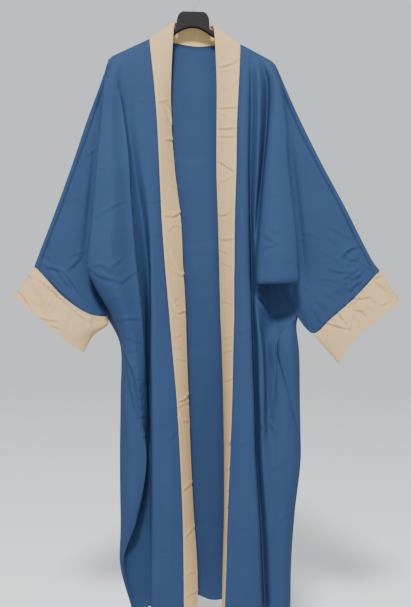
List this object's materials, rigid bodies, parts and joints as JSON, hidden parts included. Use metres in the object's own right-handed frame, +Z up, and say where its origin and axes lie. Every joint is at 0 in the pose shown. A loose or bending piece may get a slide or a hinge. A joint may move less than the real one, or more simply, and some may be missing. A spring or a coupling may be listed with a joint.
{
  "type": "open-front kimono robe on a clothes hanger",
  "caption": "Open-front kimono robe with wide cut-on sleeves, a contrasting front band and deep cuffs, hanging in soft folds from a shaped hanger with a wire hook.",
  "frame": {"origin": "inside top of the hook's bend, where the rail carries it", "axes": "+Z up, -Y the open front, +X to the wearer's left, which is the right-hand side seen from the front"},
  "size_m": [0.9698, 0.177, 1.5622],
  "materials": {
    "crepe": "smooth matt crepe with a faint soft sheen",
    "band_cloth": "smooth matt crepe, doubled",
    "hanger_plastic": "satin moulded",
    "hook_wire": "polished wire"
  },
  "bodies": {
    "root": {"back": "crepe", "front_left": "crepe", "front_right": "crepe", "neckband_left": "band_cloth", "neckband_right": "band_cloth", "cuff_left": "band_cloth", "cuff_right": "band_cloth", "hanger_body": "hanger_plastic", "hanger_hook": "hook_wire"}
  },
  "joints": []
}
